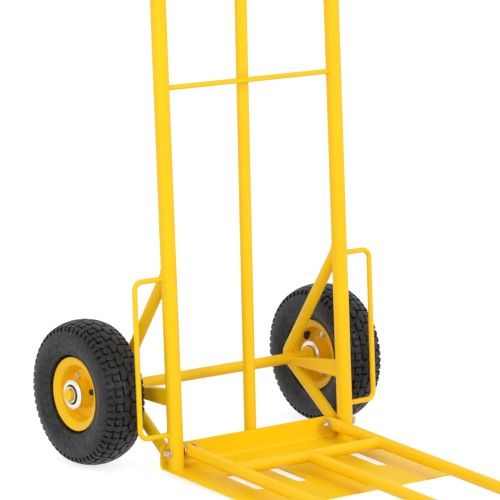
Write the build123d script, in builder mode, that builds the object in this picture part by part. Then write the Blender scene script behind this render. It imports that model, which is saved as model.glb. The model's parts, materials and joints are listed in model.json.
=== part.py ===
from build123d import *
from math import asin, atan, cos, radians, sin, tan
import os

os.makedirs("parts", exist_ok=True)

# Folding hand truck with two pneumatic wheels, in millimetres and degrees.
# The origin is on the floor, midway between the uprights, under their leaning axes.
# +Z is up, the toe plate reaches towards -Y, the wheels are at +Y, and X runs along the axle.

# Uprights and their handles
gauge = 382.0
upright_radius = 14.0
upright_wall = 2.0
upright_lean = 4.3
handle_height = 1030.0
handle_bend_radius = 110.0
handle_bend_angle = 62.0
handle_length = 135.0

# Toe plate
plate_width = 424.0
plate_reach = 279.0
plate_thickness = 3.0
plate_rise = 11.0
flange_height = 52.5
plate_bend_radius = 6.0
slot_count = 4
slot_pitch = 91.0
slot_width = 23.0
slot_length = 98.0
slot_distance = 128.0

# Centre tube, cross rod and top bar
centre_radius = 11.0
centre_wall = 2.0
centre_setback = 12.0
centre_foot_height = 17.0
pad_width = 46.0
pad_height = 28.0
pad_thickness = 5.0
rod_radius = 4.75
rod_height = 678.5
bar_radius = 11.0
bar_wall = 2.0
bar_height = 1000.0

# Axle
axle_radius = 10.0
axle_height = 130.0
axle_setback = 160.0
axle_end = 7.5
axle_chamfer = 1.0
cap_radius = 12.0
cap_face = 1.0
collar_radius = 17.5
collar_length = 5.0
washer_thickness = 2.0
washer_radius = 15.0
pin_radius = 1.2
pin_leg = 20.0
pin_eye_radius = 2.8
end_float = 0.3
running_clearance = 0.05

# Bent stays behind the uprights, pressed struts and wheel guards
stay_radius = 10.5
stay_wall = 2.0
stay_head_height = 366.0
stay_foot_height = 28.5
stay_vertex_back = 16.0
stay_vertex_rise = 4.0
stay_bend_radius = 16.0
strut_rear_width = 24.0
strut_rear_height = 13.0
strut_front_width = 10.0
strut_front_height = 34.5
strut_corner = 4.0
guard_radius = 4.75
guard_reach = 71.5
guard_bottom = 73.0
guard_top = 348.0
guard_corner = 15.0
guard_setback = 4.0

# Wheels: each value is measured from the wheel's own centre plane or axis
track = 536.0
tyre_radius = 130.0
tyre_width = 84.0
tread_half_width = 36.0
tread_drop = 9.0
tyre_wall = 6.0
tread_belly = 99.0
bead_radius = 51.0
bead_width = 8.0
bead_half_width = 27.5
tube_gap = 0.4
tube_wall = 2.0
rim_radius = 65.5
rim_thickness = 2.5
rim_dish_slope = 4.0
hub_length = 74.0
hub_wall = 2.5
cup_radius = 27.5
cup_thickness = 6.0
cup_wall = 2.0
cup_rounding = 2.0
bearing_radius = 21.0
bearing_width = 12.0
seal_inner = 13.0
seal_outer = 18.5
seal_depth = 0.6
rim_bolt_count = 4
rim_bolt_circle = 36.0
rim_bolt_radius = 3.0
rim_bolt_hole = 3.2
rim_bolt_flats = 10.0
rim_bolt_head = 4.0
rim_nut_height = 5.0
rim_bolt_tail = 1.5
valve_radius = 3.0
valve_length = 19.0
valve_lean = 50.0
valve_inset = 9.0
valve_clearance = 0.3
valve_cap_wall = 1.2
valve_cap_length = 8.0
valve_cap_depth = 6.0
wheel_phase = {"left": 45.0, "right": 0.0}
valve_angle = {"left": 166.0, "right": 43.0}

# Hinge bolts of the folding extension
hinge_height = 41.0
bolt_radius = 4.0
bolt_flats = 13.0
bolt_head = 5.3
bolt_tail = 2.0
nut_height = 8.0
head_seat_radius = 8.0
nut_seat_radius = 10.5
seat_thickness = 1.6
spacer_radius = 10.0
spacer_float = 0.3

# Folding extension
extension_reach = 700.0
extension_clearance = 3.0
extension_radius = 11.0
extension_wall = 2.0
tail_clearance = 0.5
plug_depth = 5.0
extension_bend = 60.0
cross_distance = 136.0
vent_radius = 2.3
vent_distance = 24.0

# Grips
grip_length = 122.0
grip_wall = 3.5
grip_cap = 4.0
grip_collar_radius = 23.0
grip_collar_length = 5.0
grip_rounding = 1.3
grip_plain_end = 5.0
grip_rib_count = 12
grip_rib_depth = 1.2


def lean_y(height):
    """Y of the uprights' axes at a height."""
    return height * tan(radians(upright_lean))


sides = {"left": -1, "right": 1}
half_gauge = gauge / 2
flange_front = upright_radius / cos(radians(upright_lean)) + lean_y(flange_height)
flange_back = flange_front + plate_thickness
pad_back = flange_back + pad_thickness
plate_slope = atan(plate_rise / (plate_reach + flange_back))
half_track = track / 2
half_hub = hub_length / 2
hub_inner = half_track - half_hub
hub_outer = half_track + half_hub
axle_half_length = hub_outer + axle_end
hinge_y = lean_y(hinge_height)
extension_gauge = gauge - 2 * (upright_radius + extension_clearance + extension_radius)
half_extension = extension_gauge / 2
extension_slope = asin((hinge_height - extension_radius) / extension_reach)
bolt_hole_radius = bolt_radius + running_clearance
drill_length = 2 * gauge

# Middle plane of the extension: own x along the hinge, own y towards the uprights
deck_plane = Plane(
    origin=(0, hinge_y, hinge_height),
    x_dir=(1, 0, 0),
    z_dir=(0, -sin(extension_slope), cos(extension_slope)),
)


# Underside of the toe plate, which rises from its front edge: own y runs back along the plate
plate_plane = Plane(
    origin=(0, -plate_reach, 0),
    x_dir=(1, 0, 0),
    z_dir=(0, -sin(plate_slope), cos(plate_slope)),
)


def side_plane(x):
    """Plane across the axle at x: its own x runs along +Y and its y along +Z."""
    return Plane(origin=(x, 0, 0), x_dir=(0, 1, 0), z_dir=(1, 0, 0))


def guard_plane(side):
    """Plane that leans with the uprights through a wheel guard: its own y runs up the upright."""
    return Plane(
        origin=(side * half_gauge, guard_setback, 0),
        x_dir=(1, 0, 0),
        z_dir=(0, -cos(radians(upright_lean)), sin(radians(upright_lean))),
    )


def wheel_plane(x):
    """Plane through the axle for wheel profiles: own x along the axle, own y outwards."""
    return Plane(origin=(x, axle_setback, axle_height), x_dir=(1, 0, 0), z_dir=(0, -1, 0))


def rod_solid(start, end, radius):
    """Plain round bar between two points."""
    direction = Vector(*end) - Vector(*start)
    return Solid.make_cylinder(radius, direction.length, Plane(origin=start, z_dir=direction))


def save(part, name):
    """Label a finished piece and write it."""
    part.label = name
    export_step(part, f"parts/{name}.step")


def ring(radius, bore):
    """Annulus in the current sketch, or a full circle where the bore is 0."""
    Circle(radius)
    if bore > 0:
        Circle(bore, mode=Mode.SUBTRACT)


def x_disc(x_from, x_to, radius, bore, y, z):
    """Washer-shaped solid along X between two positions."""
    with BuildPart() as disc:
        with BuildSketch(Plane(origin=(min(x_from, x_to), y, z), z_dir=(1, 0, 0))):
            ring(radius, bore)
        extrude(amount=abs(x_to - x_from))
    return disc.part


def x_hexagon(x_from, x_to, flats, y, z):
    """Hexagonal bar along X between two positions, one corner up."""
    with BuildPart() as hexagon:
        with BuildSketch(Plane(origin=(min(x_from, x_to), y, z), x_dir=(0, 0, 1), z_dir=(1, 0, 0))):
            RegularPolygon(radius=flats / 2, side_count=6, major_radius=False)
        extrude(amount=abs(x_to - x_from))
    return hexagon.part


def handle_path(side):
    """Centre line of an upright, from the floor up and back along its handle."""
    with BuildLine(side_plane(side * half_gauge)) as path:
        shank = Line((0, 0), (lean_y(handle_height), handle_height))
        bend = JernArc(shank @ 1, shank % 1, handle_bend_radius, -handle_bend_angle)
        Line(bend @ 1, bend @ 1 + (bend % 1) * handle_length)
    return path.line


upright_bars = {
    side: rod_solid((x, 0, 0), (x, lean_y(handle_height), handle_height), upright_radius)
    for side, x in ((-1, -half_gauge), (1, half_gauge))
}
axle_bar = rod_solid(
    (-axle_half_length, axle_setback, axle_height),
    (axle_half_length, axle_setback, axle_height),
    axle_radius,
)

# Toe plate: one sheet folded up at the back, with a row of long slots. It stands on its front edge and
# rises a little towards the uprights, so that the edge slides under a load.
plate_depth = plate_thickness / cos(plate_slope)
plate_inner_height = (plate_reach + flange_front) * tan(plate_slope) + plate_depth
with BuildPart() as toe_plate:
    with BuildSketch(side_plane(-plate_width / 2)) as plate_profile:
        with BuildLine():
            Polyline(
                (-plate_reach, 0),
                (flange_back, plate_rise),
                (flange_back, flange_height),
                (flange_front, flange_height),
                (flange_front, plate_inner_height),
                (-plate_reach, plate_depth),
                close=True,
            )
        make_face()
        inner_corner = plate_profile.vertices().group_by(Axis.X)[1].sort_by(Axis.Y)[0]
        fillet(inner_corner, plate_bend_radius)
        outer_corner = plate_profile.vertices().group_by(Axis.X)[-1].sort_by(Axis.Y)[0]
        fillet(outer_corner, plate_bend_radius + plate_thickness)
    extrude(amount=plate_width)
    with BuildSketch(plate_plane):
        with Locations((0, (plate_reach - slot_distance) / cos(plate_slope))):
            with GridLocations(slot_pitch, 0, slot_count, 1):
                SlotOverall(slot_length, slot_width, rotation=90)
    extrude(amount=plate_thickness, mode=Mode.SUBTRACT)
save(toe_plate.part, "toe_plate")

# Uprights: one tube each, bent back into the handles
for side_name, side in sides.items():
    upright_line = handle_path(side)
    with BuildPart() as upright:
        with BuildSketch(Plane(origin=upright_line @ 0, z_dir=upright_line % 0)):
            ring(upright_radius, upright_radius - upright_wall)
        sweep(path=upright_line)
        split(bisect_by=plate_plane.offset(plate_thickness), keep=Keep.TOP)
        add(toe_plate.part, mode=Mode.SUBTRACT)
        with Locations((side * half_gauge, hinge_y, hinge_height)):
            Cylinder(bolt_hole_radius, drill_length, rotation=(0, 90, 0), mode=Mode.SUBTRACT)
    save(upright.part, f"{side_name}_upright")

# Centre tube: from the pad behind the toe plate up to the top bar
bar_y = lean_y(bar_height)
pad_middle = flange_height - pad_height / 2 - plate_thickness
centre_slope = (bar_y + centre_setback - pad_back - centre_radius) / (bar_height - pad_middle)
centre_foot_y = pad_back + centre_radius - centre_slope * (pad_middle - centre_foot_height)
bar_solid = rod_solid((-half_gauge, bar_y, bar_height), (half_gauge, bar_y, bar_height), bar_radius)
with BuildPart() as centre_tube:
    centre_foot = Vector(0, centre_foot_y, centre_foot_height)
    centre_head = Vector(0, bar_y + centre_setback, bar_height)
    with BuildSketch(Plane(origin=centre_foot, z_dir=centre_head - centre_foot)):
        ring(centre_radius, centre_radius - centre_wall)
    extrude(amount=(centre_head - centre_foot).length)
    split(bisect_by=Plane.XZ.offset(-pad_back), keep=Keep.BOTTOM)
    add(bar_solid, mode=Mode.SUBTRACT)
save(centre_tube.part, "centre_tube")

with BuildPart() as centre_pad:
    with BuildSketch(Plane.XZ.offset(-flange_back)):
        with Locations((0, pad_middle)):
            RectangleRounded(pad_width, pad_height, plate_thickness)
    extrude(amount=-pad_thickness)
save(centre_pad.part, "centre_pad")

with BuildPart() as top_bar:
    with BuildSketch(Plane(origin=(-half_gauge, bar_y, bar_height), z_dir=(1, 0, 0))):
        ring(bar_radius, bar_radius - bar_wall)
    extrude(amount=gauge)
    for bar in upright_bars.values():
        add(bar, mode=Mode.SUBTRACT)
save(top_bar.part, "top_bar")

with BuildPart() as cross_rod:
    with BuildSketch(Plane(origin=(-half_gauge, lean_y(rod_height), rod_height), z_dir=(1, 0, 0))):
        Circle(rod_radius)
    extrude(amount=gauge)
    for bar in upright_bars.values():
        add(bar, mode=Mode.SUBTRACT)
save(cross_rod.part, "cross_rod")

# Axle: one bar across the whole truck, drilled for a split pin at each end
pin_x = axle_half_length - axle_end + end_float + washer_thickness + end_float + pin_radius
with BuildPart() as axle:
    add(axle_bar)
    chamfer(axle.edges().filter_by(GeomType.CIRCLE), axle_chamfer)
    with Locations((-pin_x, axle_setback, axle_height), (pin_x, axle_setback, axle_height)):
        Cylinder(pin_radius + running_clearance, drill_length, mode=Mode.SUBTRACT)
save(axle.part, "axle")

stay_vertex = (axle_setback + stay_vertex_back, axle_height + stay_vertex_rise)
stay_drop = (stay_vertex[1] - stay_foot_height) / (stay_vertex[0] - flange_back)
stay_tip = (0, stay_foot_height - stay_drop * flange_back)


def stay_tube(side, bore):
    """Bent side stay, coped on the upright and the axle and cut off at the toe plate."""
    with BuildPart() as stay:
        with BuildLine(side_plane(side * half_gauge)) as stay_line:
            FilletPolyline(
                (lean_y(stay_head_height), stay_head_height),
                stay_vertex,
                stay_tip,
                radius=stay_bend_radius,
            )
        with BuildSketch(Plane(origin=stay_line.line @ 0, z_dir=stay_line.line % 0)):
            ring(stay_radius, bore)
        sweep()
        split(bisect_by=Plane.XZ.offset(-flange_back), keep=Keep.BOTTOM)
        add(upright_bars[side], mode=Mode.SUBTRACT)
        add(axle_bar, mode=Mode.SUBTRACT)
    return stay.part


for side_name, side in sides.items():
    stay = stay_tube(side, stay_radius - stay_wall)
    save(stay, f"{side_name}_stay")

    # Strut: a tube pressed flat on edge at the upright and flat on the axle
    strut_bottom = axle_height - axle_radius
    with BuildPart() as strut:
        rear = (side * half_gauge, axle_setback, strut_bottom + strut_rear_height / 2)
        front = (side * half_gauge, lean_y(axle_height), strut_bottom + strut_front_height / 2)
        with BuildSketch(Plane(origin=rear, x_dir=(1, 0, 0), z_dir=(0, -1, 0))):
            RectangleRounded(strut_rear_width, strut_rear_height, strut_corner)
        with BuildSketch(Plane(origin=front, x_dir=(1, 0, 0), z_dir=(0, -1, 0))):
            RectangleRounded(strut_front_width, strut_front_height, strut_corner)
        loft()
        add(upright_bars[side], mode=Mode.SUBTRACT)
        add(axle_bar, mode=Mode.SUBTRACT)
        add(stay_tube(side, 0), mode=Mode.SUBTRACT)
    save(strut.part, f"{side_name}_strut")

    # Wheel guard: a bent rod outside the upright
    with BuildPart() as guard:
        low = guard_bottom / cos(radians(upright_lean))
        high = guard_top / cos(radians(upright_lean))
        with BuildLine(guard_plane(side)) as guard_line:
            FilletPolyline(
                (0, low),
                (side * guard_reach, low),
                (side * guard_reach, high),
                (0, high),
                radius=guard_corner,
            )
        with BuildSketch(Plane(origin=guard_line.line @ 0, z_dir=guard_line.line % 0)):
            Circle(guard_radius)
        sweep()
        add(upright_bars[side], mode=Mode.SUBTRACT)
    save(guard.part, f"{side_name}_guard")

# Fasteners of the axle: a collar inside each wheel, then a washer, a split pin and a push-on cap outside
for side_name, side in sides.items():
    front = side * (hub_inner - end_float)
    back = front - side * collar_length
    collar = x_disc(back, front, collar_radius, axle_radius, axle_setback, axle_height)
    save(collar, f"{side_name}_axle_collar")
    front = side * (hub_outer + end_float)
    back = front + side * washer_thickness
    washer_bore = axle_radius + running_clearance
    washer = x_disc(back, front, washer_radius, washer_bore, axle_setback, axle_height)
    save(washer, f"{side_name}_axle_washer")
    with BuildPart() as split_pin:
        with Locations((side * pin_x, axle_setback, axle_height + axle_radius - pin_leg / 2)):
            Cylinder(pin_radius, pin_leg + 2 * pin_radius)
        eye_height = axle_height + axle_radius + pin_eye_radius + pin_radius
        with Locations((side * pin_x, axle_setback, eye_height)):
            Torus(pin_eye_radius, pin_radius, rotation=(0, 90, 0))
    save(split_pin.part, f"{side_name}_split_pin")
    with BuildPart() as axle_cap:
        rim = side * (pin_x + pin_radius + end_float)
        end = side * axle_half_length
        add(x_disc(rim, end + side * cap_face, cap_radius, 0, axle_setback, axle_height))
        add(axle_bar, mode=Mode.SUBTRACT)
        outer_face = axle_cap.faces().filter_by(Axis.X).sort_by(Axis.X)[-1 if side > 0 else 0]
        fillet(outer_face.edges(), cap_face * 0.9)
    save(axle_cap.part, f"{side_name}_axle_cap")

# Wheels: tyre and inner tube on a bolted two-piece rim, hub, bearings in pressed cups, and a valve.
# Both wheels are mounted the same way round, with their valves towards -X.
spin_axis = Axis((0, axle_setback, axle_height), (1, 0, 0))
lip_x = bead_half_width + rim_thickness
hub_radius = bearing_radius + cup_wall + hub_wall
cup_seat = bearing_radius + cup_wall
hub_tube_half = half_hub - cup_thickness


def spin_plane(x):
    """Plane across a wheel at x, its own x turned towards +Y."""
    return Plane(origin=(x, axle_setback, axle_height), x_dir=(0, 1, 0), z_dir=(1, 0, 0))


def tyre_section(inset):
    """Closed section of the tyre from bead to bead, taken in by an inset."""
    edge_x = tread_half_width - inset
    edge_r = tyre_radius - tread_drop - inset
    wall_x = tyre_width / 2 - inset
    foot_x = bead_half_width - inset
    foot_r = bead_radius + inset
    with BuildSketch() as section:
        with BuildLine():
            ThreePointArc((-edge_x, edge_r), (0, tyre_radius - inset), (edge_x, edge_r))
            ThreePointArc((edge_x, edge_r), (wall_x, tread_belly), (foot_x, rim_radius))
            Polyline((foot_x, rim_radius), (foot_x, foot_r), (-foot_x, foot_r), (-foot_x, rim_radius))
            ThreePointArc((-foot_x, rim_radius), (-wall_x, tread_belly), (-edge_x, edge_r))
        make_face()
    return section.sketch


def valve_axis(side_name, centre_x):
    """Plane whose normal runs along the valve, from the tyre's cavity outwards."""
    angle = radians(valve_angle[side_name])
    lean = radians(valve_lean)
    foot = bead_radius + rim_thickness
    return Plane(
        origin=(
            centre_x - valve_inset,
            axle_setback + foot * cos(angle),
            axle_height + foot * sin(angle),
        ),
        z_dir=(-cos(lean), -sin(lean) * cos(angle), -sin(lean) * sin(angle)),
    )


def rim_half(side_name, centre_x, facing):
    """Pressed half of the rim: a flange outside the bead, the bead seat, the dish and the web."""
    with BuildPart() as half:
        with BuildSketch(wheel_plane(centre_x)):
            with BuildLine():
                Polyline(
                    (0, hub_radius),
                    (0, bead_radius),
                    (facing * bead_half_width, bead_radius),
                    (facing * bead_half_width, rim_radius),
                    (facing * lip_x, rim_radius),
                    (facing * lip_x, bead_radius - rim_thickness),
                    (facing * 2 * rim_thickness, bead_radius - rim_thickness - rim_dish_slope),
                    (facing * rim_thickness, bead_radius - 2 * rim_thickness - rim_dish_slope),
                    (facing * rim_thickness, hub_radius),
                    close=True,
                )
            make_face()
        revolve(axis=spin_axis)
        with Locations(spin_plane(centre_x)):
            with PolarLocations(rim_bolt_circle, rim_bolt_count, start_angle=wheel_phase[side_name]):
                Cylinder(rim_bolt_hole, drill_length, mode=Mode.SUBTRACT)
        if facing < 0:
            with Locations(valve_axis(side_name, centre_x)):
                Cylinder(valve_radius + valve_clearance, drill_length, mode=Mode.SUBTRACT)
    return half.part


def bearing_cup(centre_x, facing):
    """Pressed cup that holds a bearing in the end of the hub tube and covers it with a rim."""
    with BuildPart() as cup:
        with BuildSketch(spin_plane(centre_x + facing * (half_hub - bearing_width / 2))):
            ring(cup_seat, bearing_radius)
        extrude(amount=bearing_width / 2, both=True)
        with BuildSketch(spin_plane(centre_x + facing * (half_hub - cup_thickness / 2))):
            ring(cup_radius, bearing_radius)
        extrude(amount=cup_thickness / 2, both=True)
        rim_edges = cup.edges().filter_by(GeomType.CIRCLE).group_by(lambda edge: edge.radius)[-1]
        fillet(rim_edges, cup_rounding)
    return cup.part


def sealed_bearing(centre_x, facing):
    """Ball bearing with a sealed groove on both faces, running on the axle."""
    with BuildPart() as bearing:
        with BuildSketch(spin_plane(centre_x + facing * (half_hub - bearing_width / 2))):
            ring(bearing_radius, axle_radius + running_clearance)
        extrude(amount=bearing_width / 2, both=True)
        for face in (half_hub, half_hub - bearing_width + seal_depth):
            with BuildSketch(spin_plane(centre_x + facing * (face - seal_depth / 2))):
                ring(seal_outer, seal_inner)
            extrude(amount=seal_depth / 2, both=True, mode=Mode.SUBTRACT)
    return bearing.part


for side_name, side in sides.items():
    centre_x = side * half_track

    with BuildPart() as tyre:
        with BuildSketch(wheel_plane(centre_x)):
            add(tyre_section(0))
            add(tyre_section(tyre_wall), mode=Mode.SUBTRACT)
            with Locations((0, bead_radius + tyre_wall)):
                Rectangle(2 * (bead_half_width - bead_width), 2 * tyre_wall, mode=Mode.SUBTRACT)
        revolve(axis=spin_axis)
    save(tyre.part, f"{side_name}_tyre")

    with BuildPart() as inner_tube:
        with BuildSketch(wheel_plane(centre_x)):
            add(tyre_section(tyre_wall + tube_gap))
            add(tyre_section(tyre_wall + tube_gap + tube_wall), mode=Mode.SUBTRACT)
        revolve(axis=spin_axis)
    save(inner_tube.part, f"{side_name}_inner_tube")

    with BuildPart() as hub:
        with BuildSketch(spin_plane(centre_x)):
            ring(hub_radius, cup_seat)
        extrude(amount=hub_tube_half, both=True)
    save(hub.part, f"{side_name}_hub")

    for end_name, facing in (("outer", side), ("inner", -side)):
        save(rim_half(side_name, centre_x, facing), f"{side_name}_rim_{end_name}")
        save(bearing_cup(centre_x, facing), f"{side_name}_bearing_cup_{end_name}")
        save(sealed_bearing(centre_x, facing), f"{side_name}_bearing_{end_name}")

    bolt_spots = PolarLocations(rim_bolt_circle, rim_bolt_count, start_angle=wheel_phase[side_name])
    bolt_end = rim_thickness + rim_nut_height + rim_bolt_tail
    with BuildPart() as rim_bolts:
        with BuildSketch(spin_plane(centre_x - side * bolt_end)):
            with bolt_spots:
                Circle(rim_bolt_radius)
        extrude(amount=side * (bolt_end + rim_thickness))
        with BuildSketch(spin_plane(centre_x + side * rim_thickness)):
            with bolt_spots:
                RegularPolygon(radius=rim_bolt_flats / 2, side_count=6, major_radius=False)
        extrude(amount=side * rim_bolt_head)
    save(rim_bolts.part, f"{side_name}_rim_bolts")

    with BuildPart() as rim_nuts:
        with BuildSketch(spin_plane(centre_x - side * rim_thickness)):
            with bolt_spots:
                RegularPolygon(radius=rim_bolt_flats / 2, side_count=6, major_radius=False)
                Circle(rim_bolt_radius, mode=Mode.SUBTRACT)
        extrude(amount=-side * rim_nut_height)
    save(rim_nuts.part, f"{side_name}_rim_nuts")

    valve_plane = valve_axis(side_name, centre_x)
    with BuildPart() as valve:
        with BuildSketch(valve_plane):
            Circle(valve_radius)
        extrude(amount=valve_length)
    save(valve.part, f"{side_name}_valve")

    with BuildPart() as valve_cap:
        with BuildSketch(valve_plane.offset(valve_length - valve_cap_depth)):
            Circle(valve_radius + valve_cap_wall)
        extrude(amount=valve_cap_length)
        with BuildSketch(valve_plane):
            Circle(valve_radius)
        extrude(amount=valve_length, mode=Mode.SUBTRACT)
        cap_end = valve_cap.faces().filter_by(GeomType.PLANE).sort_by(Axis.X)[0]
        fillet(cap_end.edges(), valve_cap_wall)
    save(valve_cap.part, f"{side_name}_valve_cap")

# Hinge bolts: head and washer outside the upright, spacer next to the rail, washer and nut inside it
head_seat = half_gauge + upright_radius
rail_inside = half_extension - extension_radius
nut_face = rail_inside - spacer_float - seat_thickness

with BuildPart() as hinge_bolts:
    for side in sides.values():
        shank_end = nut_face - nut_height - bolt_tail
        head_face = head_seat + seat_thickness
        add(x_disc(side * shank_end, side * head_face, bolt_radius, 0, hinge_y, hinge_height))
        add(x_hexagon(side * head_face, side * (head_face + bolt_head), bolt_flats, hinge_y, hinge_height))
save(hinge_bolts.part, "hinge_bolts")

with BuildPart() as hinge_nuts:
    for side in sides.values():
        add(x_hexagon(side * (nut_face - nut_height), side * nut_face, bolt_flats, hinge_y, hinge_height))
        with Locations((side * nut_face, hinge_y, hinge_height)):
            Cylinder(bolt_radius, drill_length, rotation=(0, 90, 0), mode=Mode.SUBTRACT)
save(hinge_nuts.part, "hinge_nuts")

with BuildPart() as hinge_washers:
    for side in sides.values():
        for seat, seat_radius in ((head_seat, head_seat_radius), (nut_face, nut_seat_radius)):
            back = side * (seat + seat_thickness)
            add(x_disc(side * seat, back, seat_radius, bolt_hole_radius, hinge_y, hinge_height))
save(hinge_washers.part, "hinge_washers")

with BuildPart() as hinge_spacers:
    for side in sides.values():
        front = side * (half_extension + extension_radius + spacer_float)
        back = side * (half_gauge - upright_radius - spacer_float)
        add(x_disc(front, back, spacer_radius, bolt_hole_radius, hinge_y, hinge_height))
save(hinge_spacers.part, "hinge_spacers")

# Folding extension: a bent loop of tube with a cross tube and a centre tube
hinge_point = Vector(0, hinge_y, hinge_height)
tail_radius = flange_front - hinge_y - tail_clearance
tail_round = rod_solid((-gauge, hinge_y, hinge_height), (gauge, hinge_y, hinge_height), tail_radius)


def deck_point(x, distance):
    """Point of the extension's middle plane, ahead of the hinge by a distance."""
    return deck_plane.from_local_coords(Vector(x, -distance, 0))


def loop_tube(bore):
    """Bent tube of the loop from hinge to hinge."""
    with BuildPart() as tube:
        with BuildLine(deck_plane) as loop_line:
            FilletPolyline(
                (-half_extension, 0),
                (-half_extension, -extension_reach),
                (half_extension, -extension_reach),
                (half_extension, 0),
                radius=extension_bend,
            )
        with BuildSketch(Plane(origin=loop_line.line @ 0, z_dir=loop_line.line % 0)):
            ring(extension_radius, bore)
        sweep()
    return tube.part


def tail_bars(radius, start):
    """Two bars behind the hinge, from a start to the rounding about its axis."""
    with BuildPart() as bars:
        for side in sides.values():
            foot = deck_point(side * half_extension, -start)
            with BuildSketch(Plane(origin=foot, z_dir=deck_plane.y_dir)):
                Circle(radius)
            extrude(amount=tail_radius)
        add(tail_round, mode=Mode.INTERSECT)
    return bars.part


with BuildPart() as extension_loop:
    bore = extension_radius - extension_wall
    add(loop_tube(bore))
    add(tail_bars(extension_radius, 0))
    add(tail_bars(bore, 0), mode=Mode.SUBTRACT)
    with Locations(hinge_point):
        Cylinder(bolt_hole_radius, drill_length, rotation=(0, 90, 0), mode=Mode.SUBTRACT)
    with BuildSketch(Plane(deck_point(-half_extension, vent_distance))):
        Circle(vent_radius)
    extrude(amount=extension_radius, mode=Mode.SUBTRACT)
save(extension_loop.part, "extension_loop")

with BuildPart() as extension_plugs:
    add(tail_bars(extension_radius - extension_wall, plug_depth))
save(extension_plugs.part, "extension_plugs")

loop_bar = loop_tube(0)
cross_left = deck_point(-half_extension, cross_distance)
cross_right = deck_point(half_extension, cross_distance)
cross_bar = rod_solid(cross_left, cross_right, extension_radius)

with BuildPart() as extension_cross_tube:
    with BuildSketch(Plane(origin=cross_left, z_dir=(1, 0, 0))):
        ring(extension_radius, extension_radius - extension_wall)
    extrude(amount=extension_gauge)
    add(loop_bar, mode=Mode.SUBTRACT)
save(extension_cross_tube.part, "extension_cross_tube")

with BuildPart() as extension_centre_tube:
    with BuildSketch(Plane(origin=deck_point(0, cross_distance), z_dir=-deck_plane.y_dir)):
        ring(extension_radius, extension_radius - extension_wall)
    extrude(amount=extension_reach - cross_distance)
    add(cross_bar, mode=Mode.SUBTRACT)
    add(loop_bar, mode=Mode.SUBTRACT)
save(extension_centre_tube.part, "extension_centre_tube")

# Grips: ribbed sleeves with a hand stop and a closed end, pushed over the handles
grip_radius = upright_radius + grip_wall
ribbed_length = grip_length - grip_collar_length - 2 * grip_plain_end
rib_pitch = ribbed_length / grip_rib_count
for side_name, side in sides.items():
    path = handle_path(side)
    handle_end = Plane(origin=path @ 1, z_dir=path % 1)
    with BuildPart() as grip:
        with BuildSketch(handle_end):
            Circle(grip_radius)
        extrude(amount=grip_cap)
        fillet(grip.edges().filter_by(GeomType.CIRCLE), grip_rounding)
        with BuildSketch(handle_end):
            ring(grip_radius, upright_radius)
        extrude(amount=-grip_length)
        with BuildSketch(handle_end.offset(-grip_length)):
            ring(grip_collar_radius, upright_radius)
        extrude(amount=grip_collar_length)
        for rib in range(grip_rib_count):
            with BuildSketch(handle_end.offset(-grip_plain_end - rib * rib_pitch)):
                ring(grip_radius, grip_radius - grip_rib_depth)
            extrude(amount=-rib_pitch / 2, mode=Mode.SUBTRACT)
    save(grip.part, f"{side_name}_grip")
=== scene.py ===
import json
from math import asin, atan2, cos, exp, hypot, pi, radians, sin, sqrt, tan

import bmesh
import bpy
from mathutils import Matrix, Vector


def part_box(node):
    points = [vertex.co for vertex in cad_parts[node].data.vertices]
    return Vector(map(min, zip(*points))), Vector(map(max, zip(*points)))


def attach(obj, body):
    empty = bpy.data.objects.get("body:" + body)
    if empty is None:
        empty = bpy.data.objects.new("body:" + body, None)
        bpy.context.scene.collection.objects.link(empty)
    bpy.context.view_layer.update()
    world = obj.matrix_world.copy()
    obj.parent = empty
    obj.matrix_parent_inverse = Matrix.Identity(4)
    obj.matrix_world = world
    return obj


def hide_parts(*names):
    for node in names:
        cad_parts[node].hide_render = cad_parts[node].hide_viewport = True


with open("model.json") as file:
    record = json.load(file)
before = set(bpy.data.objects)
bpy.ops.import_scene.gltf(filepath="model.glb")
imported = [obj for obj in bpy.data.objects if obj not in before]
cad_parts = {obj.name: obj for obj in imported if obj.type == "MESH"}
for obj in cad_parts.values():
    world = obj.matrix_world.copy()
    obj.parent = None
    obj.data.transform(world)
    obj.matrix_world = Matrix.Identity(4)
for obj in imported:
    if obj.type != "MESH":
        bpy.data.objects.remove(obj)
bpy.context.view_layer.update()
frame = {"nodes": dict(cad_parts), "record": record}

# Hand truck in metres: +Z up, the toe plate towards -Y, the axle along X.
# Sizes that repeat the CAD model's own, for the pieces that are dressed over it.
gauge = 0.382
upright_radius = 0.014
upright_lean = radians(4.3)
plate_thickness = 0.003
plate_reach = 0.279
plate_rise = 0.011
flange_height = 0.0525
tube_radius = 0.011
rod_radius = 0.00475
rod_height = 0.6785
bar_height = 1.0
stay_radius = 0.0105
axle_radius = 0.01
hub_half = 0.037
extension_reach = 0.7
cross_distance = 0.136

sides = {"left": -1, "right": 1}
half_gauge = gauge / 2
wheel_centre = {name: sum(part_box(f"{name}_tyre"), Vector()) / 2 for name in sides}


def lean_y(height):
    """Y of the uprights' axes at a height."""
    return height * tan(upright_lean)


# ---- materials


def fill(node, values):
    """Set sockets of a node by their names."""
    for label, value in values.items():
        node.inputs[label].default_value = value


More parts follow.
